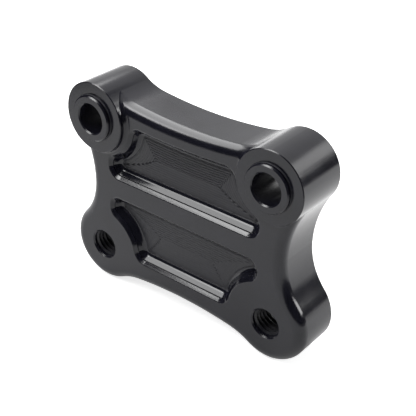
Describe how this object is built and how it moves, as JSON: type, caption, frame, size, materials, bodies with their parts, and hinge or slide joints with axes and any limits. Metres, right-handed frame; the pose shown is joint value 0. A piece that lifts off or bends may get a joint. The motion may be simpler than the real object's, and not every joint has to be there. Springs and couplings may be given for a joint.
{
  "type": "motorcycle bar riser",
  "caption": "Handlebar riser block with a waisted outline, collared bolt holes above, threaded holes below and shallow pockets in its front face.",
  "frame": {"origin": "middle of the block's box, at the foot of its two lower lobes", "axes": "+X across the block between the holes of a row, +Y from the collared front to the plain back, +Z from the threaded holes up to the collared holes"},
  "size_m": [0.1244, 0.0262, 0.0966],
  "materials": {
    "black_anodised": "satin black anodised, machined"
  },
  "bodies": {
    "root": {"riser_block": "black_anodised"}
  },
  "joints": []
}
